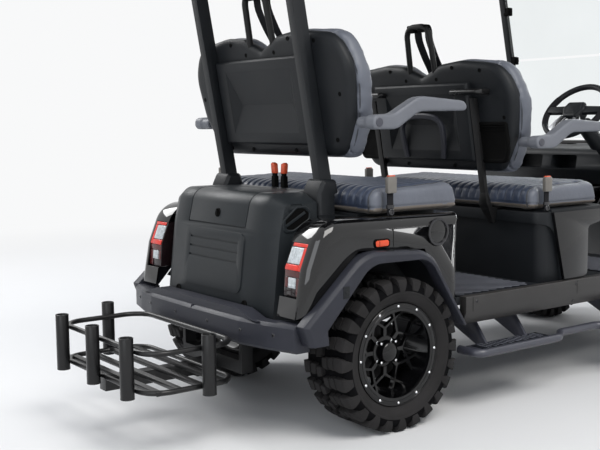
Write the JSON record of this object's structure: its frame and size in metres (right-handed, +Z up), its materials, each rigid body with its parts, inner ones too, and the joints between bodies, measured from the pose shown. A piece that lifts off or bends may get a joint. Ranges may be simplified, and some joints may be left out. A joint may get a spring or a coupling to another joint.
{
  "type": "golf cart",
  "caption": "Lifted electric golf cart with two bench seats facing forward, a full roof, chunky off-road tyres, side steps and a cargo rack with rod holders at the rear.",
  "frame": {"origin": "on the ground, under the middle of the whole vehicle", "axes": "+Z up, the front faces -Y, the cart's left side is +X"},
  "size_m": [1.4, 3.6329, 2.0475],
  "materials": {
    "tyre": "dull black rubber",
    "rim_black": "gloss black paint",
    "chassis_black": "satin black powder coat",
    "body_matte": "grained charcoal moulding",
    "bustle_grey": "grained charcoal moulding",
    "flare_matte": "grained charcoal moulding",
    "body_gloss": "mirror-gloss black panel",
    "lamp_red": "clear red lens",
    "marker_orange": "orange-red lens",
    "lamp_clear": "clear lens",
    "chrome": "polished",
    "roof_black": "satin black moulding",
    "clear_pane": "clear sheet",
    "seat_slate": "slate blue-grey vinyl with pleats",
    "seat_grey": "warm grey vinyl",
    "armrest_grey": "soft grey moulding",
    "rack_black": "satin black powder coat"
  },
  "bodies": {
    "chassis": {"front_axle": "chassis_black", "rear_axle": "chassis_black", "rear_springs": "chassis_black", "front_dampers": "chassis_black", "frame": "chassis_black", "floor_pan": "body_matte", "sills": "body_matte", "rear_fenders": "body_gloss", "rear_pod": "body_matte", "bustle": "bustle_grey", "rear_bumper": "body_matte", "tail_lamps": "lamp_red", "side_markers": "marker_orange", "cap_rings": "chrome", "rear_struts": "body_matte", "roof": "roof_black", "front_pillars": "body_matte", "windscreen": "clear_pane", "front_cowl": "body_gloss", "arch_flares": "flare_matte", "front_bumper": "body_matte", "headlamps": "lamp_clear", "grille": "body_matte", "dash": "body_matte", "front_pod": "body_matte", "front_pod_sides": "body_gloss", "battery_pack": "chassis_black", "cushion_rear": "seat_slate", "back_shell_rear": "body_matte", "back_pad_rear": "seat_grey", "cushion_front": "seat_slate", "back_shell_front": "body_matte", "back_pad_front": "seat_grey", "seat_frames": "chassis_black", "buckles": "body_matte", "cargo_rack": "rack_black", "rack_rail": "rack_black", "rod_holders": "rack_black", "steps": "rack_black", "steering_column": "body_matte", "pedals": "body_matte", "mirrors": "body_matte"},
    "wheel_front_left": {"tyre_front_left": "tyre", "rim_front_left": "rim_black"},
    "wheel_front_right": {"tyre_front_right": "tyre", "rim_front_right": "rim_black"},
    "wheel_rear_left": {"tyre_rear_left": "tyre", "rim_rear_left": "rim_black"},
    "wheel_rear_right": {"tyre_rear_right": "tyre", "rim_rear_right": "rim_black"},
    "knuckle_left": {"knuckle_left": "chassis_black"},
    "knuckle_right": {"knuckle_right": "chassis_black"},
    "tie_rod": {"tie_rod": "chassis_black"},
    "steering_wheel": {"steering_wheel": "body_matte"},
    "trunk_hatch": {"trunk_hatch": "bustle_grey"},
    "armrest_rear_left": {"armrest_rear_left": "armrest_grey"},
    "armrest_rear_right": {"armrest_rear_right": "armrest_grey"},
    "armrest_front_left": {"armrest_front_left": "armrest_grey"},
    "armrest_front_right": {"armrest_front_right": "armrest_grey"}
  },
  "joints": [
    {"name": "wheel_front_left_spin", "type": "hinge", "parent": "knuckle_left", "child": "wheel_front_left", "pos_m": [0.522, -1.3165, 0.29], "axis": [1, 0, 0], "continuous": true},
    {"name": "wheel_front_right_spin", "type": "hinge", "parent": "knuckle_right", "child": "wheel_front_right", "pos_m": [-0.522, -1.3165, 0.29], "axis": [1, 0, 0], "continuous": true},
    {"name": "wheel_rear_left_spin", "type": "hinge", "parent": "chassis", "child": "wheel_rear_left", "pos_m": [0.522, 0.8535, 0.29], "axis": [1, 0, 0], "continuous": true},
    {"name": "wheel_rear_right_spin", "type": "hinge", "parent": "chassis", "child": "wheel_rear_right", "pos_m": [-0.522, 0.8535, 0.29], "axis": [1, 0, 0], "continuous": true},
    {"name": "steer_left", "type": "hinge", "parent": "chassis", "child": "knuckle_left", "pos_m": [0.44, -1.3165, 0.29], "axis": [0, 0, 1], "range_deg": [-28, 28]},
    {"name": "steer_right", "type": "hinge", "parent": "chassis", "child": "knuckle_right", "pos_m": [-0.44, -1.3165, 0.29], "axis": [0, 0, 1], "range_deg": [-28.5, 28.5]},
    {"name": "tie_rod_shift", "type": "slide", "parent": "chassis", "child": "tie_rod", "axis": [1, 0, 0], "range_m": [-0.0395, 0.0395]},
    {"name": "steering_wheel_turn", "type": "hinge", "parent": "chassis", "child": "steering_wheel", "pos_m": [-0.27, -0.5915, 1.19], "axis": [0, 0.7431, 0.6691], "range_deg": [-393, 393]},
    {"name": "hatch_hinge", "type": "hinge", "parent": "chassis", "child": "trunk_hatch", "pos_m": [0, 1.051, 0.89], "axis": [1, 0, 0], "range_deg": [0, 80]},
    {"name": "armrest_rear_left_lift", "type": "hinge", "parent": "chassis", "child": "armrest_rear_left", "pos_m": [0.54, 0.94954, 1.15], "axis": [-1, 0, 0], "range_deg": [0, 100]},
    {"name": "armrest_rear_right_lift", "type": "hinge", "parent": "chassis", "child": "armrest_rear_right", "pos_m": [-0.54, 0.94954, 1.15], "axis": [-1, 0, 0], "range_deg": [0, 100]},
    {"name": "armrest_front_left_lift", "type": "hinge", "parent": "chassis", "child": "armrest_front_left", "pos_m": [0.54, 0.06954, 1.06], "axis": [-1, 0, 0], "range_deg": [0, 100]},
    {"name": "armrest_front_right_lift", "type": "hinge", "parent": "chassis", "child": "armrest_front_right", "pos_m": [-0.54, 0.06954, 1.06], "axis": [-1, 0, 0], "range_deg": [0, 100]}
  ],
  "couplings": [
    {"joint": "steer_right", "follows": "steer_left", "ratio": 1},
    {"joint": "tie_rod_shift", "follows": "steer_left", "m_per_rad": -0.08},
    {"joint": "steering_wheel_turn", "follows": "steer_left", "ratio": 14}
  ]
}
